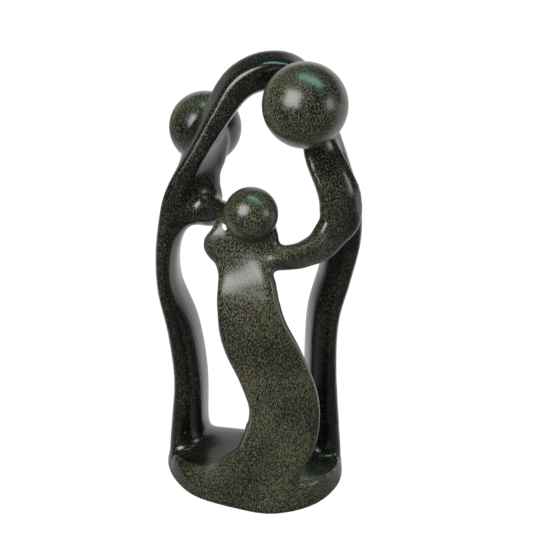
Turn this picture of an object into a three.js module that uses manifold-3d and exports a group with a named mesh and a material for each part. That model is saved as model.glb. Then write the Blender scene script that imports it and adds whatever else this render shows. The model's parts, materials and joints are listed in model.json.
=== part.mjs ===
// Family group carved from one block of dark green soapstone: two parents joined by an arch of arms over
// a child, on an oval foot. Millimetres, +Z up, the child faces -Y, origin under the middle of the box.
import * as THREE from "three";
import { mergeVertices } from "three/addons/utils/BufferGeometryUtils.js";
import Module from "manifold-3d";

const STONE_COLOUR = 0x2b3129;
const STONE_ROUGHNESS = 0.28;

// A limb is drawn through stations. Each one gives the middle of the section [x, y, z], half its
// thickness, half its depth, how far its depth turns in plan (degrees), and how square its corners are.
// A corner of 2 is an ellipse's and 4 is nearly a box's, in the order back inner, back outer,
// front outer, front inner. The roll turns the section about the limb's line (degrees), and the bevel
// is the slope that takes its front face back towards the inner side.
const station = (at, halfThickness, halfDepth, turn, corners, roll = 0, bevel = 0) => ({
  at,
  halfThickness,
  halfDepth,
  turn,
  corners,
  roll,
  bevel,
});

const SOFT = [2.3, 2.3, 2.3, 2.3];
const SLAB = [2.8, 2.4, 2.6, 2.0];
const ARCH = [2.4, 4.0, 4.6, 1.9];
const NECK = [2.2, 2.4, 2.4, 2.0];
const SHOULDER = [2.4, 2.4, 1.9, 4.6];
const ELBOW = [2.4, 2.6, 4.5, 4.2];
const FOREARM = [2.4, 2.4, 2.8, 3.2];
const COLLAR = [2.4, 2.4, 2.6, 4.5];
const CHILD = [3.2, 3.2, 5.0, 5.0];
const SHAWL = [2.6, 2.6, 3.4, 3.4];
const LIP = [2.3, 2.3, 3.0, 4.5];
const INNER_ARM = [2.3, 2.6, 2.8, 1.4];

const PARENTS_AND_ARCH = [
  station([-44, 14.5, 2], 10.2, 20, 18, SLAB, 0, 0.5),
  station([-43.7, 14.5, 20], 9.3, 19, 17, SLAB, 0, 0.45),
  station([-42.3, 15, 54], 8.1, 18, 15, SLAB, 0, 0.5),
  station([-45.9, 14, 86], 7.6, 18, 12, SLAB, 0, 0.5),
  station([-53.1, 13, 114], 6.0, 18, 7, SLAB, 0, 0.5),
  station([-53.4, 12, 136], 6.3, 18.5, 6, SLAB, 0, 0.45),
  station([-49.2, 11, 156], 7.8, 19.5, 9, SLAB, 0, 0.6),
  station([-43.4, 9.5, 175.9], 7.6, 16.8, 10, ARCH, 0, 0.3),
  station([-33.6, 7.5, 199], 6.4, 13, 3, ARCH, -5),
  station([-22.5, 6.5, 219.8], 7.3, 10.6, 0, ARCH, -15),
  station([-11.3, 6.5, 235.2], 8.8, 9.8, 0, ARCH, -18),
  station([2.8, 7, 241.6], 10, 9.8, 0, ARCH, -17),
  station([16.9, 8, 240], 9.2, 10.8, 0, ARCH, -11),
  station([26.9, 8, 225.6], 9.2, 12.8, -3, ARCH, -4),
  station([33.5, 8.5, 208.2], 9.8, 14, -6, SLAB),
  station([40.7, 7, 187.8], 9.5, 13.5, -10, SLAB, 0, 0.3),
  station([46.3, 7, 168], 9.6, 14, -12, SLAB, 0, 0.3),
  station([47, 6, 148], 9, 16.5, -14, SLAB, 0, 0.45),
  station([43, 6.5, 124], 7.6, 17.5, -13, SLAB, 0, 0.5),
  station([36.7, 6.5, 98], 7.5, 17.5, -14, SLAB, 0, 0.5),
  station([35.5, 6.5, 66], 7.7, 17.5, -15, SLAB, 0, 0.5),
  station([36.9, 6, 22], 8.9, 18.5, -17, SLAB, 0, 0.45),
  station([37.8, 5.5, 2], 9.8, 19.5, -18, SLAB, 0, 0.5),
];

const LEFT_PARENT_NECK = [
  station([-46.5, 12, 150], 4, 10, 8, NECK),
  station([-43.4, 11, 158], 7.2, 12, 0, NECK, 0, 0.2),
  station([-36.8, 10.5, 167], 15.2, 13, -9, NECK, 0, 0.32),
  station([-35, 12, 177], 12.6, 13, -10, NECK, 0, 0.32),
  station([-34, 13.5, 185], 12, 13.5, -8, NECK, 0, 0.3),
  station([-31.4, 16, 193], 12.4, 14, -5, NECK, 0, 0.25),
  station([-28, 20, 203], 10.8, 13, 0, NECK, 0, 0.2),
  station([-25, 22, 213], 5, 9, 10, NECK),
];

const LEFT_PARENT_ARM = [
  station([-47, 13.5, 162], 8.6, 10, 90, INNER_ARM),
  station([-38, 9.5, 162.4], 8.8, 11, 70, INNER_ARM, -4),
  station([-29.5, 3, 162.4], 8.3, 9.5, 60, INNER_ARM, -4),
  station([-21, -7.5, 165.4], 6.5, 6.8, 60, INNER_ARM, -4),
  station([-11, -20, 167.5], 5, 5.5, 60, SOFT),
];

// The left parent's hand, laid on the child's left shoulder.
const LEFT_PARENT_HAND = [
  station([-17.5, -10, 166.8], 4.6, 5, 0, SOFT),
  station([-19.4, -18, 165.4], 4.6, 5, 0, SOFT),
  station([-20.4, -25, 162.4], 4.2, 5, 0, SOFT),
];

// Down from the right parent's head, round the elbow and across the child's collar to its left shoulder.
// The front inner corner is the ridge that runs the whole way.
const RIGHT_PARENT_ARM = [
  station([28.6, -9.4, 216], 7.1, 4.5, 0, SHOULDER, 20),
  station([33.2, -9.5, 202.6], 10.2, 4.5, 0, SHOULDER, 22),
  station([36.8, -12.2, 194.5], 11, 4.6, 0, SHOULDER, 23),
  station([40.4, -14.4, 187], 11.6, 4.8, 0, SHOULDER, 24),
  station([43.5, -15.3, 178.6], 12.5, 5.2, 0, SHOULDER, 25),
  station([44.5, -15.2, 170.5], 13, 5.6, 0, SHOULDER, 26),
  station([43, -15.6, 163.6], 12.5, 5.8, 0, ELBOW, 27),
  station([38.9, -17.6, 157.8], 10.6, 6, 0, ELBOW, 29),
  station([33.2, -21.6, 152.2], 9.5, 6, 0, ELBOW, 27),
  station([26.5, -26, 149.5], 8.9, 5.6, 0, FOREARM, 28),
  station([19.1, -29.2, 148.1], 8.4, 5.5, 0, FOREARM, 33),
  station([7.4, -30.8, 147.7], 7.5, 6, 0, COLLAR, 42),
  station([-2.5, -29.4, 148.6], 5.8, 6, 0, COLLAR, 44),
  station([-11, -27.4, 150.2], 5.2, 5.6, 0, SOFT, 40),
  station([-17.5, -25, 153.4], 4.5, 5, 0, SOFT, 30),
];

const CHILD_NECK = [
  station([-1, -30, 148], 10.5, 6.5, 0, SOFT),
  station([0, -29, 157], 10.3, 6.5, 0, SOFT),
  station([-0.5, -29, 167], 8.6, 6.5, 0, SOFT),
];

const CHILD_BODY = [
  station([-4.5, -42.6, 2], 16.5, 11.4, 10, CHILD),
  station([0, -42.7, 14], 17.6, 10.6, 7, CHILD),
  station([6, -42.3, 29], 18.8, 9.6, -3, CHILD),
  station([12.2, -41, 45], 20.2, 8, -9, CHILD),
  station([13, -40, 64], 19.8, 7.2, -10, CHILD),
  station([6.2, -40, 85], 19.2, 6.8, -8, CHILD),
  station([-3, -40.6, 106], 18.7, 6.8, 3, CHILD),
  station([-6.3, -39, 122], 17.4, 6.6, 12, CHILD),
  station([-7.3, -36.2, 133], 16.2, 6.2, 12, CHILD),
  station([-8.8, -31.4, 142.5], 14.9, 6.6, 12, SHAWL),
  station([-11.4, -28, 152.5], 16.6, 7, 6, SOFT),
  station([-17.6, -25.8, 160], 16.2, 6.8, 0, SOFT),
  station([-20.8, -23.6, 164.8], 9.4, 5.6, 0, SOFT),
  station([-22.6, -22.4, 166.6], 4, 3.5, 0, SOFT),
];

// Its front inner corner is the crest that runs from the child's left edge to the left parent.
const FOOT_SWEEP = [
  station([-2, -42, 50], 6, 6.5, -9, LIP),
  station([-3, -42.3, 44], 6.6, 6.8, -6, LIP),
  station([-6.4, -43, 30], 9.6, 8.2, 0, LIP, -4, 0.1),
  station([-19.5, -44, 16.2], 12.5, 9, 15, LIP, -14, 0.3),
  station([-28.5, -40.9, 9.8], 13, 8, 23, LIP, -20, 0.4),
  station([-35.7, -37, 7.4], 13, 7.5, 29, LIP, -22, 0.42),
  station([-42.9, -32.6, 6.6], 13, 7, 41, LIP, -22, 0.42),
  station([-51, -24.6, 6.2], 12.5, 7, 58, LIP, -22, 0.42),
  station([-57, -13, 4.5], 11.5, 7, 72, LIP, -22, 0.42),
];

// The foot's front rises to a low crest between the right parent and the child, too.
const FOOT_RISE = [
  station([48, -12, 2.5], 10, 4.5, -86, SOFT, -6, 0.1),
  station([47.5, -21, 3.2], 11, 4.5, -80, SOFT, -6, 0.1),
  station([43.8, -31.6, 4.2], 11.6, 4.5, -60, SOFT, -4, 0.1),
  station([36.2, -40, 4.6], 12, 4.5, -42, SOFT, -4, 0.1),
  station([25.2, -47.2, 4.8], 12, 4.5, -23, SOFT, -4, 0.1),
  station([12, -50, 5], 12, 5, -10, SOFT, -4, 0.1),
];

// The foot's rim in plan, counter-clockwise from the left end.
const RIM = [
  [-56.6, 6],
  [-53, -15.5],
  [-39.5, -36.8],
  [-15, -50.4],
  [8, -56.4],
  [31.5, -46.6],
  [46, -25],
  [49, -1],
  [46.6, 15],
  [37, 26.6],
  [14, 31.4],
  [-9, 33],
  [-34, 36.6],
  [-51, 26.5],
];
const RIM_MIDDLE = [-4, -10];
// Height up the foot, and the share of the rim's reach there.
const FOOT_PROFILE = [
  [0, 0.955],
  [0.6, 0.98],
  [1.8, 0.996],
  [3.8, 0.998],
  [6.2, 0.975],
  [8.6, 0.91],
  [10, 0.82],
  [10.7, 0.7],
];
// Limbs that rise from the foot stay flush with its rim up to this height, and lean out freely above.
const BURIED_HEIGHT = 2;
const FLUSH_HEIGHT = 14;
const FREE_HEIGHT = 70;
const FLUSH_REACH = 0.985;
const FREE_REACH = 1.25;

// The small eye left between the child's head, its shoulder and the left parent's hand.
const EYE = { at: [-19.6, -25, 163.6], halfWidth: 1.3, halfHeight: 2.3, lean: 22, length: 60, sides: 8 };

const HEADS = [
  { middle: [23.8, -21, 230.7], radius: 23 },
  { middle: [-31.9, 36, 202.5], radius: 20.9 },
  { middle: [-4.9, -32, 173.6], radius: 14.7 },
];

const wasm = await Module();
wasm.setup();

function solid(geometry) {
  geometry.deleteAttribute("normal");
  geometry.deleteAttribute("uv");
  const merged = mergeVertices(geometry, 1e-4);
  return new wasm.Manifold(
    new wasm.Mesh({
      numProp: 3,
      vertProperties: merged.attributes.position.array,
      triVerts: new Uint32Array(merged.index.array),
    }),
  );
}

function curveThrough(rows) {
  return new THREE.CatmullRomCurve3(
    rows.map((row) => new THREE.Vector3(...row)),
    false,
    "catmullrom",
    0.5,
  );
}

// One closed ring of a section, as offsets along its thickness and its depth.
function ring(sides, halfThickness, halfDepth, bevel, corners) {
  return Array.from({ length: sides }, (_, k) => {
    const angle = (2 * Math.PI * k) / sides;
    const power = 2 / corners[Math.floor((4 * k) / sides)];
    const rounded = (value) => Math.sign(value) * Math.abs(value) ** power;
    const across = rounded(Math.cos(angle));
    const along = rounded(Math.sin(angle));
    const fall = bevel * halfThickness * (across + 1) * Math.max(-along, 0);
    return [halfThickness * across, halfDepth * along + fall];
  });
}

const rimCurve = new THREE.CatmullRomCurve3(
  RIM.map(([x, y]) => new THREE.Vector3(x - RIM_MIDDLE[0], y - RIM_MIDDLE[1], 0)),
  true,
  "catmullrom",
  0.5,
);
const rimSamples = Array.from({ length: 720 }, (_, k) => rimCurve.getPoint(k / 720));

// The rim's distance from its middle in the direction of a point.
function rimReach(x, y) {
  const direction = Math.atan2(y, x);
  let nearest = Infinity;
  let reach = 0;
  for (const sample of rimSamples) {
    const gap = Math.abs(Math.sin((Math.atan2(sample.y, sample.x) - direction) / 2));
    if (gap < nearest) {
      nearest = gap;
      reach = Math.hypot(sample.x, sample.y);
    }
  }
  return reach;
}

// Draws a point in to the rim where it would stand out past it near the foot.
function flushWithRim(point) {
  if (point.z > FREE_HEIGHT) return point;
  point.z = Math.max(point.z, BURIED_HEIGHT);
  const x = point.x - RIM_MIDDLE[0];
  const y = point.y - RIM_MIDDLE[1];
  const rise = THREE.MathUtils.smoothstep(point.z, FLUSH_HEIGHT, FREE_HEIGHT);
  const limit = rimReach(x, y) * THREE.MathUtils.lerp(FLUSH_REACH, FREE_REACH, rise);
  const share = Math.min(1, limit / Math.hypot(x, y));
  point.x = RIM_MIDDLE[0] + x * share;
  point.y = RIM_MIDDLE[1] + y * share;
  return point;
}

// A closed skin over rings of points with the same number of sides, flat at both ends.
function skin(rings) {
  const sides = rings[0].length;
  const last = (rings.length - 1) * sides;
  const indices = [];
  for (let start = 0; start < last; start += sides)
    for (let k = 0; k < sides; k++) {
      const a = start + k;
      const b = start + ((k + 1) % sides);
      indices.push(a, b, b + sides, a, b + sides, a + sides);
    }
  for (let k = 1; k < sides - 1; k++) indices.push(0, k + 1, k, last, last + k, last + k + 1);
  const geometry = new THREE.BufferGeometry();
  const positions = rings.flat().flatMap((point) => point.toArray());
  geometry.setAttribute("position", new THREE.Float32BufferAttribute(positions, 3));
  geometry.setIndex(indices);
  return solid(geometry);
}

function limb(stations, sides, steps) {
  const spine = curveThrough(stations.map((s) => s.at));
  const sizes = curveThrough(stations.map((s) => [s.halfThickness, s.halfDepth, s.turn]));
  const leans = curveThrough(stations.map((s) => [s.roll, s.bevel, 0]));
  const backCorners = curveThrough(stations.map((s) => [s.corners[0], s.corners[1], 0]));
  const frontCorners = curveThrough(stations.map((s) => [s.corners[2], s.corners[3], 0]));
  const rings = [];
  for (let i = 0; i <= steps; i++) {
    const t = i / steps;
    const middle = spine.getPoint(t);
    const ahead = spine.getTangent(t);
    const size = sizes.getPoint(t);
    const turn = THREE.MathUtils.degToRad(size.z);
    const back = new THREE.Vector3(Math.sin(turn), Math.cos(turn), 0);
    back.addScaledVector(ahead, -back.dot(ahead)).normalize();
    const inward = new THREE.Vector3().crossVectors(back, ahead);
    const lean = leans.getPoint(t);
    const roll = THREE.MathUtils.degToRad(lean.x);
    back.applyAxisAngle(ahead, -roll);
    inward.applyAxisAngle(ahead, -roll);
    const rear = backCorners.getPoint(t);
    const front = frontCorners.getPoint(t);
    const corners = [rear.x, rear.y, front.x, front.y];
    rings.push(
      ring(sides, size.x, size.y, lean.y, corners).map(([u, v]) =>
        flushWithRim(middle.clone().addScaledVector(inward, u).addScaledVector(back, v)),
      ),
    );
  }
  return skin(rings);
}

function foot(sides) {
  return skin(
    FOOT_PROFILE.map(([height, share]) =>
      Array.from({ length: sides }, (_, k) => {
        const { x, y } = rimCurve.getPoint(k / sides);
        return new THREE.Vector3(RIM_MIDDLE[0] + x * share, RIM_MIDDLE[1] + y * share, height);
      }),
    ),
  );
}

function head({ middle, radius }) {
  const ball = new THREE.SphereGeometry(radius, 24, 16);
  ball.rotateX(Math.PI / 2);
  ball.translate(...middle);
  return solid(ball);
}

function eye({ at, halfWidth, halfHeight, lean, length, sides }) {
  const cut = new THREE.CylinderGeometry(1, 1, length, sides);
  cut.scale(halfWidth, 1, halfHeight);
  cut.rotateX(THREE.MathUtils.degToRad(-lean));
  cut.translate(...at);
  return solid(cut);
}

const pieces = [
  foot(48),
  limb(PARENTS_AND_ARCH, 18, 68),
  limb(LEFT_PARENT_NECK, 14, 11),
  limb(LEFT_PARENT_ARM, 12, 8),
  limb(LEFT_PARENT_HAND, 10, 3),
  limb(RIGHT_PARENT_ARM, 16, 32),
  limb(CHILD_BODY, 20, 36),
  limb(CHILD_NECK, 12, 3),
  limb(FOOT_SWEEP, 14, 14),
  limb(FOOT_RISE, 10, 8),
  ...HEADS.map(head),
];
const carved = pieces.reduce((whole, piece) => whole.add(piece)).subtract(eye(EYE));

const mesh = carved.getMesh();
const geometry = new THREE.BufferGeometry();
geometry.setAttribute("position", new THREE.BufferAttribute(new Float32Array(mesh.vertProperties), 3));
geometry.setIndex(new THREE.BufferAttribute(new Uint32Array(mesh.triVerts), 1));
geometry.computeVertexNormals();
geometry.computeBoundingBox();
const { min, max } = geometry.boundingBox;
geometry.translate(-(min.x + max.x) / 2, -(min.y + max.y) / 2, -min.z);

const stone = new THREE.MeshStandardMaterial({
  color: STONE_COLOUR,
  roughness: STONE_ROUGHNESS,
  metalness: 0,
});
const sculpture = new THREE.Mesh(geometry, stone);
sculpture.name = "family_sculpture";

const group = new THREE.Group();
group.add(sculpture);

export default group;
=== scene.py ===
"""Family group carved from one block of polished dark green soapstone, on a white studio floor.

The carving is roughed out limb by limb from named stations, fused into one stone, hollowed softly where
limbs meet, and polished. Stations are in millimetres, +Z up, with the child facing -Y.
"""

import json
import math

import bmesh
import bpy
import numpy as np
from bpy.props import (
    FloatProperty,
    FloatVectorProperty,
    IntProperty,
    PointerProperty,
    StringProperty,
)
from mathutils import Matrix, Vector

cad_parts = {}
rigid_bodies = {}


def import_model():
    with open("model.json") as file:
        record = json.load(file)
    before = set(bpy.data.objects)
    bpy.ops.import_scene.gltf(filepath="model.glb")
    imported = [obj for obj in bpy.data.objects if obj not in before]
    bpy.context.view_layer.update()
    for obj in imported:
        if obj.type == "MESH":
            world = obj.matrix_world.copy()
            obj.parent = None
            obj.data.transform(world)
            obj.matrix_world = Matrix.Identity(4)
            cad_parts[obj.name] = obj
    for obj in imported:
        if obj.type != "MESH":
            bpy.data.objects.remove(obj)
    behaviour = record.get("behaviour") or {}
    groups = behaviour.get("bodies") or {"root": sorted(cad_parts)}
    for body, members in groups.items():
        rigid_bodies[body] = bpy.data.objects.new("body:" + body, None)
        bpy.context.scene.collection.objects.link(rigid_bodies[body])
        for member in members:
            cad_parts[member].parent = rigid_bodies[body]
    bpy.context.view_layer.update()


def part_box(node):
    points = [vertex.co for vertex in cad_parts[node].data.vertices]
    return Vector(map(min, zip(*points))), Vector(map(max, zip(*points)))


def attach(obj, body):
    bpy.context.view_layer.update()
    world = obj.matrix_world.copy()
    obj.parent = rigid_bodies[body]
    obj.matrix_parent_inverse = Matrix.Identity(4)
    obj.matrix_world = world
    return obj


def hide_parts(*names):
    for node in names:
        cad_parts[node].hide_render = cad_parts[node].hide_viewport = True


bl_info = {
    "name": "Soapstone Family Carving",
    "version": (1, 0, 0),
    "blender": (4, 5, 0),
    "location": "View3D > Sidebar > Carving",
    "description": "Builds a polished soapstone family group and its studio",
    "category": "Add Mesh",
}

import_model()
STONE_NODE = "family_sculpture"

MM = 0.001
WHITE = "#ffffff"
ROUGH_TAG = "rough_form"
BODIES, CHILD_STAGE, HEAD_STAGE = "bodies", "child", "heads"


# Form of the stone


def station(at, half_thickness, half_depth, turn, corners, roll=0, bevel=0):
    """One section of a limb: its middle and half sizes, its turn in plan, how square its four corners
    are, its roll about the limb's own run, and how steeply its front falls back towards the inner side.
    Angles are in degrees."""
    return (*at, half_thickness, half_depth, turn, roll, bevel, *corners)


# A corner of 2 is an ellipse's and 4 is nearly a box's. Their order is back inner, back outer,
# front outer, front inner.
SOFT = (2.3, 2.3, 2.3, 2.3)
SLAB = (2.8, 2.4, 2.6, 2.0)
ARCH = (2.4, 4.0, 4.6, 1.9)
NECK = (2.2, 2.4, 2.4, 2.0)
SHOULDER = (2.4, 2.4, 1.9, 4.6)
ELBOW = (2.4, 2.6, 4.5, 4.2)
FOREARM = (2.4, 2.4, 2.8, 3.2)
COLLAR = (2.4, 2.4, 2.6, 4.5)
CHILD = (3.2, 3.2, 5.0, 5.0)
SHAWL = (2.6, 2.6, 3.4, 3.4)
LIP = (2.3, 2.3, 3.0, 4.5)
INNER_ARM = (2.3, 2.6, 2.8, 1.4)

PARENTS_AND_ARCH = (
    station((-44, 14.5, 2), 10.2, 20, 18, SLAB, bevel=0.5),
    station((-43.7, 14.5, 20), 9.3, 19, 17, SLAB, bevel=0.45),
    station((-42.3, 15, 54), 8.1, 18, 15, SLAB, bevel=0.5),
    station((-45.9, 14, 86), 7.6, 18, 12, SLAB, bevel=0.5),
    station((-53.1, 13, 114), 6.0, 18, 7, SLAB, bevel=0.5),
    station((-53.4, 12, 136), 6.3, 18.5, 6, SLAB, bevel=0.45),
    station((-49.2, 11, 156), 7.8, 19.5, 9, SLAB, bevel=0.6),
    station((-43.4, 9.5, 175.9), 7.6, 16.8, 10, ARCH, bevel=0.3),
    station((-33.6, 7.5, 199), 6.4, 13, 3, ARCH, -5),
    station((-22.5, 6.5, 219.8), 7.3, 10.6, 0, ARCH, -15),
    station((-11.3, 6.5, 235.2), 8.8, 9.8, 0, ARCH, -18),
    station((2.8, 7, 241.6), 10, 9.8, 0, ARCH, -17),
    station((16.9, 8, 240), 9.2, 10.8, 0, ARCH, -11),
    station((26.9, 8, 225.6), 9.2, 12.8, -3, ARCH, -4),
    station((33.5, 8.5, 208.2), 9.8, 14, -6, SLAB),
    station((40.7, 7, 187.8), 9.5, 13.5, -10, SLAB, bevel=0.3),
    station((46.3, 7, 168), 9.6, 14, -12, SLAB, bevel=0.3),
    station((47, 6, 148), 9, 16.5, -14, SLAB, bevel=0.45),
    station((43, 6.5, 124), 7.6, 17.5, -13, SLAB, bevel=0.5),
    station((36.7, 6.5, 98), 7.5, 17.5, -14, SLAB, bevel=0.5),
    station((35.5, 6.5, 66), 7.7, 17.5, -15, SLAB, bevel=0.5),
    station((36.9, 6, 22), 8.9, 18.5, -17, SLAB, bevel=0.45),
    station((37.8, 5.5, 2), 9.8, 19.5, -18, SLAB, bevel=0.5),
)

LEFT_PARENT_NECK = (
    station((-46.5, 12, 150), 4, 10, 8, NECK),
    station((-43.4, 11, 158), 7.2, 12, 0, NECK, bevel=0.2),
    station((-36.8, 10.5, 167), 15.2, 13, -9, NECK, bevel=0.32),
    station((-35, 12, 177), 12.6, 13, -10, NECK, bevel=0.32),
    station((-34, 13.5, 185), 12, 13.5, -8, NECK, bevel=0.3),
    station((-31.4, 16, 193), 12.4, 14, -5, NECK, bevel=0.25),
    station((-28, 20, 203), 10.8, 13, 0, NECK, bevel=0.2),
    station((-25, 22, 213), 5, 9, 10, NECK),
)

LEFT_PARENT_ARM = (
    station((-47, 13.5, 162), 8.6, 10, 90, INNER_ARM),
    station((-38, 9.5, 162.4), 8.8, 11, 70, INNER_ARM, -4),
    station((-29.5, 3, 162.4), 8.3, 9.5, 60, INNER_ARM, -4),
    station((-21, -7.5, 165.4), 6.5, 6.8, 60, INNER_ARM, -4),
    station((-11, -20, 167.5), 5, 5.5, 60, SOFT),
)

# Down from the right parent's head, round the elbow and across the child's collar to its left shoulder.
# The front inner corner is the ridge that runs the whole way.
RIGHT_PARENT_ARM = (
    station((28.6, -9.4, 216), 7.1, 4.5, 0, SHOULDER, 20),
    station((33.2, -9.5, 202.6), 10.2, 4.5, 0, SHOULDER, 22),
    station((36.8, -12.2, 194.5), 11, 4.6, 0, SHOULDER, 23),
    station((40.4, -14.4, 187), 11.6, 4.8, 0, SHOULDER, 24),
    station((43.5, -15.3, 178.6), 12.5, 5.2, 0, SHOULDER, 25),
    station((44.5, -15.2, 170.5), 13, 5.6, 0, SHOULDER, 26),
    station((43, -15.6, 163.6), 12.5, 5.8, 0, ELBOW, 27),
    station((38.9, -17.6, 157.8), 10.6, 6, 0, ELBOW, 29),
    station((33.2, -21.6, 152.2), 9.5, 6, 0, ELBOW, 27),
    station((26.5, -26, 149.5), 8.9, 5.6, 0, FOREARM, 28),
    station((19.1, -29.2, 148.1), 8.4, 5.5, 0, FOREARM, 33),
    station((7.4, -30.8, 147.7), 7.5, 6, 0, COLLAR, 42),
    station((-2.5, -29.4, 148.6), 5.8, 6, 0, COLLAR, 44),
    station((-11, -27.4, 150.2), 5.2, 5.6, 0, SOFT, 40),
    station((-17.5, -25, 153.4), 4.5, 5, 0, SOFT, 30),
)

SHOULDER_STATIONS = 6

# The left parent's hand, laid on the child's left shoulder.
LEFT_PARENT_HAND = (
    station((-17.5, -10, 166.8), 4.6, 5, 0, SOFT),
    station((-19.4, -18, 165.4), 4.6, 5, 0, SOFT),
    station((-20.4, -25, 162.4), 4.2, 5, 0, SOFT),
)

CHILD_BODY = (
    station((-4.5, -42.6, 2), 16.5, 11.4, 10, CHILD),
    station((0, -42.7, 14), 17.6, 10.6, 7, CHILD),
    station((6, -42.3, 29), 18.8, 9.6, -3, CHILD),
    station((12.2, -41, 45), 20.2, 8, -9, CHILD),
    station((13, -40, 64), 19.8, 7.2, -10, CHILD),
    station((6.2, -40, 85), 19.2, 6.8, -8, CHILD),
    station((-3, -40.6, 106), 18.7, 6.8, 3, CHILD),
    station((-6.3, -39, 122), 17.4, 6.6, 12, CHILD),
    station((-7.3, -36.2, 133), 16.2, 6.2, 12, CHILD),
    station((-8.8, -31.4, 142.5), 14.9, 6.6, 12, SHAWL),
    station((-11.4, -28, 152.5), 16.6, 7, 6, SOFT),
    station((-17.6, -25.8, 160), 16.2, 6.8, 0, SOFT),
    station((-20.8, -23.6, 164.8), 9.4, 5.6, 0, SOFT),
    station((-22.6, -22.4, 166.6), 4, 3.5, 0, SOFT),
)

CHILD_NECK = (
    station((-1, -30, 148), 10.5, 6.5, 0, SOFT),
    station((0, -29, 157), 10.3, 6.5, 0, SOFT),
    station((-0.5, -29, 167), 8.6, 6.5, 0, SOFT),
)

# Its front inner corner is the crest that runs from the child's left edge to the left parent.
FOOT_SWEEP = (
    station((-2, -42, 50), 6, 6.5, -9, LIP),
    station((-3, -42.3, 44), 6.6, 6.8, -6, LIP),
    station((-6.4, -43, 30), 9.6, 8.2, 0, LIP, -4, 0.1),
    station((-19.5, -44, 16.2), 12.5, 9, 15, LIP, -14, 0.3),
    station((-28.5, -40.9, 9.8), 13, 8, 23, LIP, -20, 0.4),
    station((-35.7, -37, 7.4), 13, 7.5, 29, LIP, -22, 0.42),
    station((-42.9, -32.6, 6.6), 13, 7, 41, LIP, -22, 0.42),
    station((-51, -24.6, 6.2), 12.5, 7, 58, LIP, -22, 0.42),
    station((-57, -13, 4.5), 11.5, 7, 72, LIP, -22, 0.42),
)

# The foot's front rises to a crest between the right parent and the child, too.
FOOT_RISE = (
    station((48, -12, 2.5), 10, 4.5, -86, SOFT, -6, 0.1),
    station((47.5, -21, 3.2), 11, 4.5, -80, SOFT, -6, 0.1),
    station((43.8, -31.6, 4.2), 11.6, 4.5, -60, SOFT, -4, 0.1),
    station((36.2, -40, 4.6), 12, 4.5, -42, SOFT, -4, 0.1),
    station((25.2, -47.2, 4.8), 12, 4.5, -23, SOFT, -4, 0.1),
    station((12, -50, 5), 12, 5, -10, SOFT, -4, 0.1),
)

# The foot's rim in plan, counter-clockwise from the left end.
RIM = (
    (-56.6, 6),
    (-53, -15.5),
    (-39.5, -36.8),
    (-15, -50.4),
    (8, -56.4),
    (31.5, -46.6),
    (46, -25),
    (49, -1),
    (46.6, 15),
    (37, 26.6),
    (14, 31.4),
    (-9, 33),
    (-34, 36.6),
    (-51, 26.5),
)
RIM_MIDDLE = np.array((-4.0, -10.0))
RIM_STEPS = 1440
# Height up the foot, and the share of the rim's reach there.
FOOT_PROFILE = (
    (0, 0.955),
    (0.5, 0.975),
    (1.4, 0.992),
    (3.2, 1),
    (5, 0.99),
    (6.8, 0.965),
    (8.3, 0.925),
    (9.5, 0.865),
    (10.3, 0.79),
    (10.7, 0.7),
    (10.7, 0.4),
)
# Limbs that rise from the foot stay flush with its rim up to one height, and are free above another.
BURIED_HEIGHT = 2.0
FLUSH_HEIGHT = 14.0
FREE_HEIGHT = 70.0
FLUSH_REACH = 0.985
FREE_REACH = 1.25

HEADS = {
    "right_parent_head": ((23.8, -21, 230.7), 23.0),
    "left_parent_head": ((-31.9, 36, 202.5), 20.9),
    "child_head": ((-4.9, -32, 173.6), 14.7),
}

EYE_AT = (-19.6, -25, 163.6)
EYE_HALF_WIDTH = 1.1
EYE_HALF_HEIGHT = 2.2
EYE_LEAN = 22.0
EYE_SLANT = 30.0
EYE_LENGTH = 60.0

# How much the filling and the polish move the skin at each pass.
SKIN_RATE = 0.5
# Taubin's polish takes back a little more than it gives, so that the stone keeps its size.
POLISH_RETURN = 1.04
# The flat underside, and the clean lower edge of the rim above it.
UNDERSIDE_HEIGHT = 0.9
TRUE_RIM_HEIGHT = 4.0
TRUE_RIM_SLACK = 1.6
# Where the foot's thin crest stands, and the share of the rim's reach where it begins.
CREST_LOW = 5.0
CREST_HIGH = 32.0
CREST_FADE = 3.0
CREST_REACH = 0.7
CREST_REACH_FADE = 0.08
# An edge sharper than this stays crisp in the shading, in degrees.
CRISP_ANGLE = 50.0

# Half the width of the studio's floor, in metres.
FLOOR_REACH = 6.0
# The share of the studio's light that is left at its dim left end.
LEFT_DIM = 0.25
# Each softbox: its bearing and elevation in degrees, its distance and its two sides in metres.
LEFT_SOFTBOX = (-38, 33, 0.9, (0.6, 0.6))
RIGHT_SOFTBOX = (67, 14, 0.9, (0.3, 0.34))
OVERHEAD_SKY = (68, 77, 0.9, (0.24, 0.8))
SKY_TINT = "#b4fff2"


def spline(points, t, closed=False):
    """Catmull-Rom through rows of numbers at t from 0 to 1, with the ends carried on straight."""
    points = np.asarray(points, float)
    count = len(points)
    spans = count if closed else count - 1
    place = np.atleast_1d(t) * spans
    start = np.minimum(place.astype(int), spans - 1)
    u = (place - start)[:, None]
    if closed:
        before, a, b, after = (points[(start + k) % count] for k in (-1, 0, 1, 2))
    else:
        ends = np.vstack((2 * points[0] - points[1], points, 2 * points[-1] - points[-2]))
        before, a, b, after = (ends[start + k] for k in (0, 1, 2, 3))
    return 0.5 * (
        2 * a
        + (b - before) * u
        + (2 * before - 5 * a + 4 * b - after) * u**2
        + (3 * (a - b) + after - before) * u**3
    )


RIM_SAMPLES = spline(np.asarray(RIM, float) - RIM_MIDDLE, np.arange(RIM_STEPS) / RIM_STEPS, closed=True)
RIM_BEARING = np.arctan2(RIM_SAMPLES[:, 1], RIM_SAMPLES[:, 0])
RIM_ORDER = np.argsort(RIM_BEARING)


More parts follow.
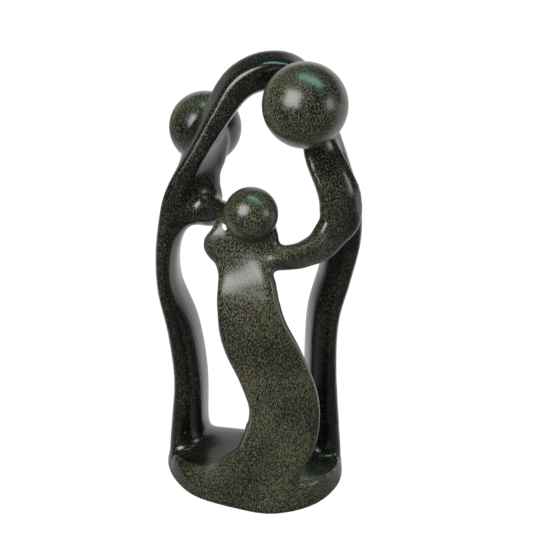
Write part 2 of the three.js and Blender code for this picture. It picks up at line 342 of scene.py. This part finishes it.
def rim_reach(offset):
    """The rim's distance from its middle in the directions of these offsets."""
    bearing = np.arctan2(offset[..., 1], offset[..., 0])
    reach = np.hypot(*RIM_SAMPLES[RIM_ORDER].T)
    return np.interp(bearing, RIM_BEARING[RIM_ORDER], reach, period=2 * math.pi)


def smoothstep(value, low, high):
    """Rises softly from 0 at low to 1 at high."""
    share = np.clip((value - low) / (high - low), 0, 1)
    return share * share * (3 - 2 * share)


def flush_with_rim(points):
    """Draws points in to the rim where they would stand out past it near the foot."""
    low = points[..., 2] <= FREE_HEIGHT
    points[..., 2] = np.where(low, np.maximum(points[..., 2], BURIED_HEIGHT), points[..., 2])
    offset = points[..., :2] - RIM_MIDDLE
    rise = smoothstep(points[..., 2], FLUSH_HEIGHT, FREE_HEIGHT)
    limit = rim_reach(offset) * (FLUSH_REACH + (FREE_REACH - FLUSH_REACH) * rise)
    share = np.minimum(1, limit / np.maximum(np.hypot(*np.moveaxis(offset, -1, 0)), 1e-6))
    share = np.where(low, share, 1)
    points[..., :2] = RIM_MIDDLE + offset * share[..., None]
    return points


def limb_rings(stations, sides, step):
    """Rings of points round a limb, about a step apart along it, in millimetres."""
    rows = np.asarray(stations, float)
    length = np.linalg.norm(np.diff(rows[:, :3], axis=0), axis=1).sum()
    t = np.linspace(0, 1, int(length / step) + 2)
    middle = spline(rows[:, :3], t)
    ahead = spline(rows[:, :3], np.minimum(t + 1e-4, 1)) - spline(rows[:, :3], np.maximum(t - 1e-4, 0))
    ahead /= np.linalg.norm(ahead, axis=1, keepdims=True)
    thickness, depth, turn, roll, bevel = spline(rows[:, 3:8], t).T
    corners = spline(rows[:, 8:], t)
    turn, roll = np.radians(turn), np.radians(roll)[:, None]
    back = np.stack((np.sin(turn), np.cos(turn), np.zeros_like(turn)), 1)
    back -= ahead * (back * ahead).sum(1, keepdims=True)
    back /= np.linalg.norm(back, axis=1, keepdims=True)
    inward = np.cross(back, ahead)
    back, inward = (
        back * np.cos(roll) + inward * np.sin(roll),
        inward * np.cos(roll) - back * np.sin(roll),
    )
    angle = 2 * math.pi * np.arange(sides) / sides
    # Each corner's squareness blends into the next one's over the flats between them.
    quarter = angle / (math.pi / 2)
    blend = np.stack([np.clip(1 - np.abs((quarter - k - 0.5 + 2) % 4 - 2), 0, 1) for k in range(4)])
    power = 2 / (corners @ blend)
    across = np.sign(np.cos(angle)) * np.abs(np.cos(angle)) ** power
    along = np.sign(np.sin(angle)) * np.abs(np.sin(angle)) ** power
    fall = (bevel * thickness)[:, None] * (across + 1) * np.maximum(-along, 0)
    points = (
        middle[:, None]
        + inward[:, None] * (thickness[:, None] * across)[..., None]
        + back[:, None] * (depth[:, None] * along + fall)[..., None]
    )
    return flush_with_rim(points)


def foot_rings(sides):
    """Rings of the foot from its underside up to its floor, in millimetres."""
    rim = spline(np.asarray(RIM, float) - RIM_MIDDLE, np.arange(sides) / sides, closed=True)
    rings = [
        np.column_stack((RIM_MIDDLE + rim * share, np.full(sides, float(height))))
        for height, share in FOOT_PROFILE
    ]
    return np.stack(rings)


def closed_skin(name, rings, stage):
    """A rough form: a closed skin over rings of points with the same number of sides."""
    count, sides = rings.shape[:2]
    vertices = (rings.reshape(-1, 3) * MM).tolist()
    faces = []
    for i in range(count - 1):
        for k in range(sides):
            a, b = i * sides + k, i * sides + (k + 1) % sides
            faces.append((a, b, b + sides, a + sides))
    faces.append(tuple(range(sides))[::-1])
    faces.append(tuple(range((count - 1) * sides, count * sides)))
    mesh = bpy.data.meshes.new(name)
    mesh.from_pydata(vertices, [], faces)
    mesh.validate()
    return rough_form(name, mesh, stage)


def ball(name, middle, radius, segments):
    """A rough form: a ball head."""
    mesh = bpy.data.meshes.new(name)
    form = bmesh.new()
    bmesh.ops.create_uvsphere(form, u_segments=segments, v_segments=segments // 2, radius=radius * MM)
    bmesh.ops.translate(form, verts=form.verts, vec=Vector(middle) * MM)
    form.to_mesh(mesh)
    form.free()
    return rough_form(name, mesh, HEAD_STAGE)


def rough_form(name, mesh, stage):
    """A form that waits to be fused at its stage of the carving."""
    form = bpy.data.objects.new(name, mesh)
    form[ROUGH_TAG] = stage
    bpy.context.scene.collection.objects.link(form)
    return form


def rough_forms(stage):
    """The rough forms that wait for a stage."""
    return [o for o in bpy.context.scene.objects if o.get(ROUGH_TAG) == stage]


# Finishing the stone


def evaluated_copy(source):
    """The mesh that an object shows with its modifiers, as a new mesh."""
    bpy.context.view_layer.update()
    seen = source.evaluated_get(bpy.context.evaluated_depsgraph_get())
    return bpy.data.meshes.new_from_object(seen)


def fuse(forms, name, voxel):
    """Fuses overlapping rough forms into one closed skin of even quads, and deletes them."""
    whole = bmesh.new()
    for form in forms:
        whole.from_mesh(form.data)
    mesh = bpy.data.meshes.new(name)
    whole.to_mesh(mesh)
    whole.free()
    stone = bpy.data.objects.new(name, mesh)
    bpy.context.scene.collection.objects.link(stone)
    remesh = stone.modifiers.new("fuse", "REMESH")
    remesh.mode = "VOXEL"
    remesh.voxel_size = voxel * MM
    stone.data = evaluated_copy(stone)
    stone.modifiers.clear()
    for form in forms:
        bpy.data.objects.remove(form)
    return stone


def open_eye(stone, shift):
    """Cuts the small eye between the child's head, its shoulder and the parent's hand."""
    mesh = bpy.data.meshes.new("eye_cutter")
    form = bmesh.new()
    bmesh.ops.create_cone(form, cap_ends=True, segments=32, radius1=1, radius2=1, depth=EYE_LENGTH)
    slant = Matrix.Rotation(math.radians(EYE_SLANT), 4, "Z")
    lean = Matrix.Rotation(math.radians(90 - EYE_LEAN), 4, "X")
    size = Matrix.Diagonal((EYE_HALF_WIDTH, EYE_HALF_HEIGHT, 1, 1))
    place = Matrix.Translation((Vector(EYE_AT) + shift) * MM)
    form.transform(place @ Matrix.Scale(MM, 4) @ lean @ slant @ size)
    form.to_mesh(mesh)
    form.free()
    cutter = bpy.data.objects.new("eye_cutter", mesh)
    bpy.context.scene.collection.objects.link(cutter)
    cut = stone.modifiers.new("eye", "BOOLEAN")
    cut.operation = "DIFFERENCE"
    cut.solver = "EXACT"
    cut.object = cutter
    stone.data = evaluated_copy(stone)
    stone.modifiers.clear()
    bpy.data.objects.remove(cutter)


class Skin:
    """A mesh's points with their neighbours and faces as flat lists, for quick smoothing."""

    def __init__(self, mesh, shift):
        self.mesh = mesh
        self.shift = np.array(shift)
        self.points = np.empty(len(mesh.vertices) * 3)
        mesh.vertices.foreach_get("co", self.points)
        self.points = self.points.reshape(-1, 3)
        edges = np.empty(len(mesh.edges) * 2, np.int64)
        mesh.edges.foreach_get("vertices", edges)
        edges = edges.reshape(-1, 2)
        pairs = np.vstack((edges, edges[:, ::-1]))
        pairs = pairs[np.argsort(pairs[:, 0], kind="stable")]
        self.neighbours = pairs[:, 1]
        self.starts = np.searchsorted(pairs[:, 0], np.arange(len(self.points)))
        self.counts = np.diff(np.append(self.starts, len(pairs)))[:, None]
        mesh.calc_loop_triangles()
        corners = np.empty(len(mesh.loop_triangles) * 3, np.int64)
        mesh.loop_triangles.foreach_get("vertices", corners)
        self.triangles = corners.reshape(-1, 3)

    def towards_neighbours(self):
        mean = np.add.reduceat(self.points[self.neighbours], self.starts, axis=0) / self.counts
        return mean - self.points

    def normals(self):
        a, b, c = (self.points[self.triangles[:, k]] for k in range(3))
        facing = np.cross(b - a, c - a)
        total = np.zeros_like(self.points)
        for axis in range(3):
            total[:, axis] = sum(
                np.bincount(self.triangles[:, k], facing[:, axis], len(self.points)) for k in range(3)
            )
        return total / np.maximum(np.linalg.norm(total, axis=1, keepdims=True), 1e-12)

    def store(self):
        self.mesh.vertices.foreach_set("co", self.points.ravel())
        self.mesh.update()


def fill_hollows(skin, passes):
    """Rounds the creases where limbs meet, and leaves the convex edges as they are."""
    for k in range(passes):
        if k % 4 == 0:
            normals = skin.normals()
        rise = (skin.towards_neighbours() * normals).sum(1, keepdims=True)
        skin.points += SKIN_RATE * np.maximum(rise, 0) * normals


def polish(skin, passes):
    """Smooths the skin a little without shrinking it."""
    for _ in range(passes):
        skin.points += SKIN_RATE * skin.towards_neighbours()
        skin.points -= (SKIN_RATE * POLISH_RETURN) * skin.towards_neighbours()


def ease_foot_crest(skin, passes):
    """Evens the thin crest that stands on the foot's rim."""
    points = skin.points / MM
    offset = points[:, :2] - RIM_MIDDLE - skin.shift[:2]
    reach = np.hypot(*offset.T) / rim_reach(offset)
    beside_rim = np.clip((reach - CREST_REACH) / CREST_REACH_FADE, 0, 1)
    inside = np.minimum(points[:, 2] - CREST_LOW, CREST_HIGH - points[:, 2])
    share = (beside_rim * np.clip(inside / CREST_FADE, 0, 1))[:, None]
    for _ in range(passes):
        skin.points += SKIN_RATE * share * skin.towards_neighbours()


def true_up_rim(skin):
    """Brings the low points beside the foot's rim onto its profile, for a clean lower edge."""
    points = skin.points / MM
    offset = points[:, :2] - RIM_MIDDLE - skin.shift[:2]
    reach = np.hypot(*offset.T)
    heights, shares = np.array(FOOT_PROFILE[:5]).T
    wanted = rim_reach(offset) * np.interp(points[:, 2], heights, shares)
    near = (points[:, 2] < TRUE_RIM_HEIGHT) & (np.abs(reach - wanted) < TRUE_RIM_SLACK)
    offset[near] *= (wanted / reach)[near, None]
    skin.points[:, :2] = (RIM_MIDDLE + skin.shift[:2] + offset) * MM


def flatten_underside(skin):
    """Puts the skin's lowest points on the ground."""
    low = skin.points[:, 2] < UNDERSIDE_HEIGHT * MM
    facing_down = skin.normals()[:, 2] < -0.8
    skin.points[low & facing_down, 2] = 0
    skin.points[:, 2] = np.maximum(skin.points[:, 2], 0)


# Materials


def linear(hex_colour):
    """An sRGB hex colour as linear red, green, blue and alpha."""
    values = [int(hex_colour[k : k + 2], 16) / 255 for k in (1, 3, 5)]
    return tuple(v / 12.92 if v <= 0.04045 else ((v + 0.055) / 1.055) ** 2.4 for v in values) + (1.0,)


def add_node(tree, kind, settings=None, inputs=None, links=None):
    """Adds a node with its settings, its sockets' values and the links into it."""
    node = tree.nodes.new(kind)
    for name, value in (settings or {}).items():
        setattr(node, name, value)
    for name, value in (inputs or {}).items():
        node.inputs[name].default_value = value
    for name, source in (links or {}).items():
        tree.links.new(source, node.inputs[name])
    return node


def new_material(name):
    """A material whose node tree is still empty."""
    material = bpy.data.materials.new(name)
    material.use_nodes = True
    material.node_tree.nodes.clear()
    return material


def set_ramp(node, stops):
    """Gives a colour ramp its stops, each a position and a colour."""
    elements = node.color_ramp.elements
    while len(elements) > 1:
        elements.remove(elements[-1])
    elements[0].position, elements[0].color = stops[0]
    for position, colour in stops[1:]:
        elements.new(position).color = colour


def polished_soapstone(finish):
    """Polished soapstone: a talc rock rubbed smooth and waxed.

    It is nearly black green in the mass, with fine olive flecks that run upright through the block.
    The wax gives soft white lights that the flecks break up, and pale edges where it is seen at a slant.
    The real grains are finer still, and are drawn as coarse as the photograph's width can show.
    """
    material = new_material("polished_soapstone")
    tree = material.node_tree
    where = add_node(tree, "ShaderNodeTexCoord").outputs["Object"]
    across = 1 / (finish.fleck_width * MM)
    upright = 1 / (finish.fleck_length * MM)
    grain_place = add_node(
        tree, "ShaderNodeMapping", inputs={"Scale": (across, across, upright)}, links={"Vector": where}
    )
    flecks = add_node(
        tree,
        "ShaderNodeTexNoise",
        inputs={"Scale": 1.0, "Detail": 3.0, "Roughness": 0.65},
        links={"Vector": grain_place.outputs["Vector"]},
    )
    clouds = add_node(
        tree,
        "ShaderNodeTexNoise",
        inputs={"Scale": 1 / (finish.cloud_size * MM), "Detail": 3.0},
        links={"Vector": where},
    )
    cloud_shift = add_node(
        tree,
        "ShaderNodeMapRange",
        inputs={"From Min": 0.3, "From Max": 0.7, "To Min": -0.04, "To Max": 0.04},
        links={"Value": clouds.outputs["Fac"]},
    )
    # Painted shade: an upright band through the middle of the block's depth is darker and has fewer flecks.
    # This is where the parents' legs, the arch and the web lie in shade behind the child.
    block = add_node(tree, "ShaderNodeSeparateXYZ", links={"Vector": where})
    past_painted_shade = add_node(
        tree,
        "ShaderNodeMath",
        {"operation": "SUBTRACT"},
        inputs={1: finish.painted_shade_middle * MM},
        links={0: block.outputs["Y"]},
    )
    from_painted_shade = add_node(
        tree, "ShaderNodeMath", {"operation": "ABSOLUTE"}, links={0: past_painted_shade.outputs["Value"]}
    )
    painted_shade_shift = add_node(
        tree,
        "ShaderNodeMapRange",
        {"interpolation_type": "SMOOTHSTEP"},
        inputs={
            "From Min": finish.painted_shade_width * 0.35 * MM,
            "From Max": finish.painted_shade_width * MM,
            "To Min": -0.08,
            "To Max": 0.0,
        },
        links={"Value": from_painted_shade.outputs["Value"]},
    )
    shift = add_node(
        tree,
        "ShaderNodeMath",
        {"operation": "ADD"},
        links={0: cloud_shift.outputs["Result"], 1: painted_shade_shift.outputs["Result"]},
    )
    # The fleck level, shifted by the soft clouds and by the painted shade band.
    fleck_level = add_node(
        tree,
        "ShaderNodeMath",
        {"operation": "ADD"},
        links={0: flecks.outputs["Fac"], 1: shift.outputs["Value"]},
    )
    colour = add_node(tree, "ShaderNodeValToRGB", links={"Fac": fleck_level.outputs["Value"]})
    set_ramp(
        colour,
        (
            (0.44, linear(finish.dark_colour)),
            (0.5, linear(finish.body_colour)),
            (0.58, linear(finish.fleck_colour)),
        ),
    )
    gloss = add_node(
        tree,
        "ShaderNodeMapRange",
        inputs={
            "From Min": 0.4,
            "From Max": 0.6,
            "To Min": finish.roughness,
            "To Max": finish.roughness + 0.2,
        },
        links={"Value": fleck_level.outputs["Value"]},
    )
    relief = add_node(
        tree,
        "ShaderNodeBump",
        inputs={"Strength": 0.5, "Distance": 0.03 * MM},
        links={"Height": flecks.outputs["Fac"]},
    )
    stone = add_node(
        tree,
        "ShaderNodeBsdfPrincipled",
        inputs={"IOR": 1.58},
        links={
            "Base Color": colour.outputs["Color"],
            "Roughness": gloss.outputs["Result"],
            "Normal": relief.outputs["Normal"],
        },
    )
    add_node(tree, "ShaderNodeOutputMaterial", links={"Surface": stone.outputs["BSDF"]})
    return material


def dimmed_on_the_left(tree, where, light, far, near):
    """The light, faded from all of it at X = near to a part of it at X = far."""
    parts = add_node(tree, "ShaderNodeSeparateXYZ", links={"Vector": where})
    fade = add_node(
        tree,
        "ShaderNodeMapRange",
        {"interpolation_type": "SMOOTHSTEP"},
        inputs={"From Min": far, "From Max": near, "To Min": LEFT_DIM},
        links={"Value": parts.outputs["X"]},
    )
    product = add_node(
        tree, "ShaderNodeMath", {"operation": "MULTIPLY"}, links={0: light, 1: fade.outputs["Result"]}
    )
    return product.outputs["Value"]


def white_paper(glow, shade):
    """White background paper that glows, though it is no lamp: a painted glow.

    It looks evenly white, and the polish mirrors its painted glow bright behind the carving, dim in front and
    dimmer at the left.
    """
    material = new_material("white_paper")
    tree = material.node_tree
    where = add_node(tree, "ShaderNodeTexCoord").outputs["Object"]
    parts = add_node(tree, "ShaderNodeSeparateXYZ", links={"Vector": where})
    # Painted glow: the paper glows brighter behind the carving than in front, for the polish to mirror.
    painted_glow = add_node(
        tree,
        "ShaderNodeMapRange",
        {"interpolation_type": "SMOOTHSTEP"},
        inputs={"From Min": -0.06, "From Max": 0.08, "To Min": shade, "To Max": glow},
        links={"Value": parts.outputs["Y"]},
    )
    light = dimmed_on_the_left(tree, where, painted_glow.outputs["Result"], far=-0.5, near=-0.08)
    seen = add_node(tree, "ShaderNodeLightPath").outputs["Is Camera Ray"]
    strength = add_node(
        tree,
        "ShaderNodeMix",
        {"data_type": "FLOAT"},
        inputs={"B": glow},
        links={"Factor": seen, "A": light},
    )
    paper = add_node(
        tree,
        "ShaderNodeBsdfPrincipled",
        inputs={
            "Base Color": linear("#404040"),
            "Roughness": 0.9,
            "Specular IOR Level": 0.1,
            "Emission Color": linear(WHITE),
        },
        links={"Emission Strength": strength.outputs[0]},
    )
    add_node(tree, "ShaderNodeOutputMaterial", links={"Surface": paper.outputs["BSDF"]})
    return material


# Settings


class CarvingForm(bpy.types.PropertyGroup):
    """How finely the stone is carved."""

    voxel: FloatProperty(name="Carving Step", description="Spacing of the stone's skin, in mm", default=1.11)
    sides: IntProperty(name="Limb Sides", description="Points round each rough limb", default=64)
    body_fill: IntProperty(name="Body Fill", description="Passes that fill creases of bodies", default=330)
    child_fill: IntProperty(name="Child Fill", description="Passes that fill the child's creases", default=60)
    head_fill: IntProperty(name="Head Fill", description="Passes that fill creases at the heads", default=10)
    crest_passes: IntProperty(name="Crest Passes", description="Passes over the foot's crest", default=14)
    polish_passes: IntProperty(name="Polish Passes", description="How often the skin is evened", default=8)


class StoneFinish(bpy.types.PropertyGroup):
    """Colour and polish of the stone."""

    dark_colour: StringProperty(name="Dark", description="Darkest stone, sRGB hex", default="#0c0d0a")
    body_colour: StringProperty(name="Body", description="Main stone, sRGB hex", default="#191b14")
    fleck_colour: StringProperty(name="Fleck", description="Olive flecks, sRGB hex", default="#67644c")
    roughness: FloatProperty(name="Roughness", description="Roughness of the wax polish", default=0.2)
    fleck_width: FloatProperty(name="Fleck Width", description="Width of a fleck, in mm", default=0.45)
    fleck_length: FloatProperty(name="Fleck Length", description="Length of a fleck, in mm", default=1.3)
    cloud_size: FloatProperty(name="Cloud Size", description="Size of the soft clouds, in mm", default=38.0)
    # Where the painted shade band lies in the block's depth, and its half width: a darker, less flecked band
    # standing in for shade.
    painted_shade_middle: FloatProperty(name="Painted Shade Middle", description="Depth of the painted shade band, in mm", default=0.0)
    painted_shade_width: FloatProperty(name="Painted Shade Width", description="Half width of the painted shade band, in mm", default=30.0)


class StudioSettings(bpy.types.PropertyGroup):
    """Floor, lights and camera."""

    floor_glow: FloatProperty(name="Floor Glow", description="Brightness of the paper", default=1.0)
    floor_shade: FloatProperty(name="Floor Shade", description="Its brightness in front", default=0.12)
    key_power: FloatProperty(name="Left Softbox", description="Power, in W", default=10.0)
    side_power: FloatProperty(name="Right Softbox", description="Power, in W", default=1.4)
    sky_power: FloatProperty(name="Overhead Light", description="Power, in W", default=3.4)
    elevation: FloatProperty(name="Elevation", description="Camera height angle, in degrees", default=22.0)
    distance: FloatProperty(name="Distance", description="Camera to target, in mm", default=747.0)
    lens: FloatProperty(name="Lens", description="Focal length on a 36 mm sensor, in mm", default=88.21)
    target: FloatVectorProperty(
        name="Target", description="Point the camera looks at, in mm", default=(3.4, 0.0, 130.3)
    )


# Operators


class CARVING_OT_foot(bpy.types.Operator):
    """Roughs out the foot and the lip that sweeps up to the child"""

    bl_idname = "carving.foot"
    bl_label = "Rough Foot"

    def execute(self, context):
        form = context.scene.carving_form
        closed_skin("foot", foot_rings(4 * form.sides), BODIES)
        closed_skin("foot_rise", limb_rings(FOOT_RISE, form.sides, form.voxel), BODIES)
        closed_skin("foot_sweep", limb_rings(FOOT_SWEEP, form.sides, form.voxel), CHILD_STAGE)
        return {"FINISHED"}


class CARVING_OT_parents(bpy.types.Operator):
    """Roughs out both parents, the arch that joins them and their inner arms"""

    bl_idname = "carving.parents"
    bl_label = "Rough Parents"

    def execute(self, context):
        form = context.scene.carving_form
        limbs = {
            "parents_and_arch": PARENTS_AND_ARCH,
            "left_parent_neck": LEFT_PARENT_NECK,
            "left_parent_arm": LEFT_PARENT_ARM,
            "left_parent_hand": LEFT_PARENT_HAND,
        }
        for name, stations in limbs.items():
            closed_skin(name, limb_rings(stations, form.sides, form.voxel), BODIES)
        # The shoulder melts into the right parent's slab, and the arm keeps its crisp lower edge.
        shoulder = limb_rings(RIGHT_PARENT_ARM[:SHOULDER_STATIONS], form.sides, form.voxel)
        closed_skin("right_parent_shoulder", shoulder, BODIES)
        right_arm = limb_rings(RIGHT_PARENT_ARM, form.sides, form.voxel)
        closed_skin("right_parent_arm", right_arm, CHILD_STAGE)
        return {"FINISHED"}


class CARVING_OT_child(bpy.types.Operator):
    """Roughs out the child's body and neck"""

    bl_idname = "carving.child"
    bl_label = "Rough Child"

    def execute(self, context):
        form = context.scene.carving_form
        closed_skin("child_body", limb_rings(CHILD_BODY, form.sides, form.voxel), CHILD_STAGE)
        closed_skin("child_neck", limb_rings(CHILD_NECK, form.sides, form.voxel), CHILD_STAGE)
        return {"FINISHED"}


class CARVING_OT_heads(bpy.types.Operator):
    """Roughs out the three ball heads"""

    bl_idname = "carving.heads"
    bl_label = "Rough Heads"

    def execute(self, context):
        form = context.scene.carving_form
        for name, (middle, radius) in HEADS.items():
            ball(name, middle, radius, 2 * form.sides)
        return {"FINISHED"}


def recentring(forms, box):
    """The shift in millimetres that puts the rough forms over the frame's box."""
    points = np.array([v.co for form in forms for v in form.data.vertices]) / MM
    low, high = points.min(0), points.max(0)
    want_low, want_high = (np.array(corner) / MM for corner in box)
    shift = (want_low + want_high) / 2 - (low + high) / 2
    shift[2] = 0
    return Vector(shift)


class CARVING_OT_stone(bpy.types.Operator):
    """Fuses the rough forms into one stone, fills the hollows, polishes it and gives it its finish"""

    bl_idname = "carving.stone"
    bl_label = "Finish Stone"

    def execute(self, context):
        form = context.scene.carving_form
        stages = {
            BODIES: form.body_fill,
            CHILD_STAGE: form.child_fill,
            HEAD_STAGE: form.head_fill,
        }
        waiting = [rough for stage in stages for rough in rough_forms(stage)]
        if not waiting:
            raise RuntimeError("rough out the foot, parents, child and heads first")
        shift = recentring(waiting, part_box(STONE_NODE))
        context.scene["carving_shift"] = list(shift)
        for rough in waiting:
            rough.data.transform(Matrix.Translation(shift * MM))
        stone = None
        for stage, passes in stages.items():
            forms = rough_forms(stage) + ([stone] if stone else [])
            stone = fuse(forms, "carved_family", form.voxel)
            skin = Skin(stone.data, shift)
            fill_hollows(skin, passes)
            skin.store()
        polish(skin, form.polish_passes)
        ease_foot_crest(skin, form.crest_passes)
        flatten_underside(skin)
        true_up_rim(skin)
        skin.store()
        open_eye(stone, shift)
        stone.data.shade_smooth()
        stone.data.set_sharp_from_angle(angle=math.radians(CRISP_ANGLE))
        stone.data.materials.clear()
        stone.data.materials.append(polished_soapstone(context.scene.stone_finish))
        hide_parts(STONE_NODE)
        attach(stone, "root")
        return {"FINISHED"}


def soft_light(name, aim, bearing, elevation, distance, size, power, colour=WHITE):
    """A softbox that looks at a point. It stands at a bearing right of the camera and an elevation, in
    degrees, and at a distance in metres."""
    data = bpy.data.lights.new(name, "AREA")
    data.shape = "RECTANGLE"
    data.size, data.size_y = size
    data.energy = power
    data.color = linear(colour)[:3]
    light = bpy.data.objects.new(name, data)
    across, up = math.radians(bearing), math.radians(elevation)
    away = Vector((math.sin(across) * math.cos(up), -math.cos(across) * math.cos(up), math.sin(up)))
    light.location = aim + away * distance
    light.rotation_euler = away.to_track_quat("Z", "Y").to_euler()
    bpy.context.scene.collection.objects.link(light)
    return light


def studio_world():
    """Bright white room behind and round the carving, dimmer where the camera stands."""
    world = bpy.data.worlds.new("white_room")
    world.use_nodes = True
    tree = world.node_tree
    tree.nodes.clear()
    way = add_node(tree, "ShaderNodeTexCoord").outputs["Generated"]
    towards_wall = add_node(
        tree,
        "ShaderNodeVectorMath",
        {"operation": "DOT_PRODUCT"},
        inputs={1: (0, 0.75, -0.66)},
        links={0: way},
    )
    behind = add_node(
        tree,
        "ShaderNodeMapRange",
        {"interpolation_type": "SMOOTHSTEP"},
        inputs={"From Min": 0.12, "From Max": 0.42, "To Min": 0.04, "To Max": 1.15},
        links={"Value": towards_wall.outputs["Value"]},
    )
    light = dimmed_on_the_left(tree, way, behind.outputs["Result"], far=-0.8, near=-0.1)
    seen = add_node(tree, "ShaderNodeLightPath").outputs["Is Camera Ray"]
    strength = add_node(
        tree,
        "ShaderNodeMix",
        {"data_type": "FLOAT"},
        inputs={"B": 1.0},
        links={"Factor": seen, "A": light},
    )
    room = add_node(
        tree,
        "ShaderNodeBackground",
        inputs={"Color": linear(WHITE)},
        links={"Strength": strength.outputs[0]},
    )
    add_node(tree, "ShaderNodeOutputWorld", links={"Surface": room.outputs["Background"]})
    return world


class CARVING_OT_stage(bpy.types.Operator):
    """Makes the white floor, the soft lights and the camera"""

    bl_idname = "carving.stage"
    bl_label = "Studio"

    def execute(self, context):
        scene = context.scene
        studio = scene.carving_studio
        shift = Vector(scene["carving_shift"])
        aim = (Vector(studio.target) + shift) * MM

        mesh = bpy.data.meshes.new("studio_floor")
        form = bmesh.new()
        bmesh.ops.create_grid(form, x_segments=1, y_segments=1, size=FLOOR_REACH)
        form.to_mesh(mesh)
        form.free()
        floor = bpy.data.objects.new("studio_floor", mesh)
        scene.collection.objects.link(floor)
        mesh.materials.append(white_paper(studio.floor_glow, studio.floor_shade))

        scene.world = studio_world()
        soft_light("left_softbox", aim, *LEFT_SOFTBOX, studio.key_power)
        soft_light("right_softbox", aim, *RIGHT_SOFTBOX, studio.side_power)
        soft_light("overhead_sky", aim, *OVERHEAD_SKY, studio.sky_power, SKY_TINT)

        camera = bpy.data.objects.new("photo_camera", bpy.data.cameras.new("photo_camera"))
        camera.data.sensor_width = 36
        camera.data.lens = studio.lens
        up = math.radians(studio.elevation)
        away = Vector((0, -math.cos(up), math.sin(up)))
        camera.location = aim + away * studio.distance * MM
        camera.rotation_euler = away.to_track_quat("Z", "Y").to_euler()
        scene.collection.objects.link(camera)
        scene.camera = camera
        scene.view_settings.view_transform = "Standard"
        return {"FINISHED"}


class CARVING_PT_panel(bpy.types.Panel):
    """Lists the carving's operators"""

    bl_label = "Soapstone Carving"
    bl_space_type = "VIEW_3D"
    bl_region_type = "UI"
    bl_category = "Carving"

    def draw(self, context):
        for operator in OPERATORS:
            self.layout.operator(operator.bl_idname)


OPERATORS = (
    CARVING_OT_foot,
    CARVING_OT_parents,
    CARVING_OT_child,
    CARVING_OT_heads,
    CARVING_OT_stone,
    CARVING_OT_stage,
)
SETTINGS = {
    "carving_form": CarvingForm,
    "stone_finish": StoneFinish,
    "carving_studio": StudioSettings,
}


def register():
    for kind in (*SETTINGS.values(), *OPERATORS, CARVING_PT_panel):
        bpy.utils.register_class(kind)
    for name, kind in SETTINGS.items():
        setattr(bpy.types.Scene, name, PointerProperty(type=kind))


def unregister():
    for name in SETTINGS:
        delattr(bpy.types.Scene, name)
    for kind in (CARVING_PT_panel, *reversed(OPERATORS), *SETTINGS.values()):
        bpy.utils.unregister_class(kind)


def main():
    register()
    bpy.ops.carving.foot()
    bpy.ops.carving.parents()
    bpy.ops.carving.child()
    bpy.ops.carving.heads()
    bpy.ops.carving.stone()
    bpy.ops.carving.stage()


if __name__ == "__main__":
    main()
